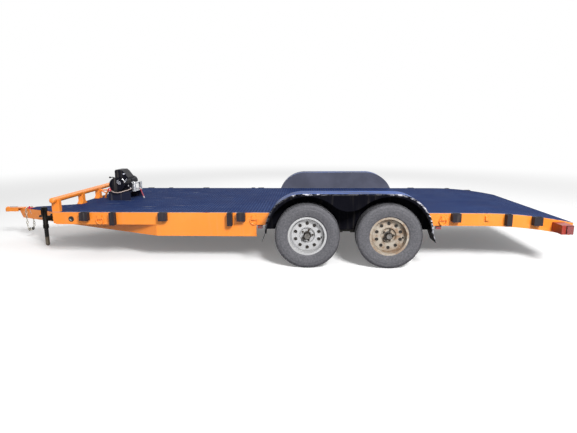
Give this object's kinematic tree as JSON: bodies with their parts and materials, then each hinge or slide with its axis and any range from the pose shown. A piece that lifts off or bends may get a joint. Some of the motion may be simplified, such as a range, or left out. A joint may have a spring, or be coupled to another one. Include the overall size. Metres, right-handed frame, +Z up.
{
  "type": "tandem-axle car transporter trailer",
  "caption": "Flat-deck car transporter trailer with a curved tail, tandem wheels under one fender a side, a headboard rail, a winch and a tongue jack.",
  "frame": {"origin": "on the ground, midway along the overall length, on the plane of symmetry", "axes": "+X to the rear, -Y the trailer's own left side, +Z up"},
  "size_m": [6.931, 2.562, 0.955],
  "materials": {
    "chain_zinc": "zinc plated",
    "deck_blue": "worn navy paint",
    "fairlead_zinc": "zinc plated",
    "fender_blue": "gloss dark blue paint",
    "frame_orange": "worn orange paint",
    "hub_steel": "greasy steel",
    "jack_black": "black paint",
    "jack_steel": "bare worn steel",
    "lamp_red": "clear red plastic",
    "running_gear_black": "chassis black",
    "strap_red": "woven webbing",
    "tyre": "weathered rubber",
    "wheel_silver": "silver paint",
    "winch_black": "satin black"
  },
  "bodies": {
    "chassis": {"axle_front": "running_gear_black", "axle_rear": "running_gear_black", "coupler": "frame_orange", "coupler_latch": "frame_orange", "crossmembers": "frame_orange", "deck_plate": "deck_blue", "equalizers": "running_gear_black", "fairlead_frame": "fairlead_zinc", "fairlead_rollers": "fairlead_zinc", "fender_left": "fender_blue", "fender_right": "fender_blue", "front_beam": "frame_orange", "jack_mount": "jack_black", "leaf_springs": "running_gear_black", "light_boxes": "frame_orange", "marker_lamps": "lamp_red", "pull_strap": "strap_red", "rear_beam": "frame_orange", "ring_clips": "frame_orange", "safety_chain_left": "chain_zinc", "safety_chain_right": "chain_zinc", "side_rail_left": "frame_orange", "side_rail_right": "frame_orange", "spring_hangers": "running_gear_black", "stake_pockets": "deck_blue", "stop_posts": "frame_orange", "stop_rail": "frame_orange", "tail_lamps": "lamp_red", "tail_plate": "deck_blue", "tie_down_rings": "frame_orange", "tongue_plate": "deck_blue", "tongue_rail_left": "frame_orange", "tongue_rail_right": "frame_orange", "winch": "winch_black", "winch_control_box": "winch_black", "winch_stand": "frame_orange"},
    "jack": {"jack_tube": "jack_black", "jack_crank": "jack_black"},
    "jack_leg_body": {"jack_leg": "jack_steel"},
    "wheel_front_left": {"tyre_front_left": "tyre", "rim_front_left": "wheel_silver", "hub_front_left": "hub_steel"},
    "wheel_front_right": {"tyre_front_right": "tyre", "rim_front_right": "wheel_silver", "hub_front_right": "hub_steel"},
    "wheel_rear_left": {"tyre_rear_left": "tyre", "rim_rear_left": "wheel_silver", "hub_rear_left": "hub_steel"},
    "wheel_rear_right": {"tyre_rear_right": "tyre", "rim_rear_right": "wheel_silver", "hub_rear_right": "hub_steel"}
  },
  "joints": [
    {"name": "wheel_front_left_spin", "type": "hinge", "parent": "chassis", "child": "wheel_front_left", "pos_m": [0.633, -1.1645, 0.344], "axis": [0, 1, 0], "continuous": true},
    {"name": "wheel_front_right_spin", "type": "hinge", "parent": "chassis", "child": "wheel_front_right", "pos_m": [0.633, 1.1645, 0.344], "axis": [0, 1, 0], "continuous": true},
    {"name": "wheel_rear_left_spin", "type": "hinge", "parent": "chassis", "child": "wheel_rear_left", "pos_m": [1.49, -1.1645, 0.344], "axis": [0, 1, 0], "continuous": true},
    {"name": "wheel_rear_right_spin", "type": "hinge", "parent": "chassis", "child": "wheel_rear_right", "pos_m": [1.49, 1.1645, 0.344], "axis": [0, 1, 0], "continuous": true},
    {"name": "jack_swivel", "type": "hinge", "parent": "chassis", "child": "jack", "pos_m": [-2.6935, -0.391, 0.35], "axis": [0.4226, 0.9063, 0], "range_deg": [0, 90]},
    {"name": "jack_leg_slide", "type": "slide", "parent": "jack", "child": "jack_leg_body", "axis": [0, 0, 1], "range_m": [0, 0.15]}
  ]
}
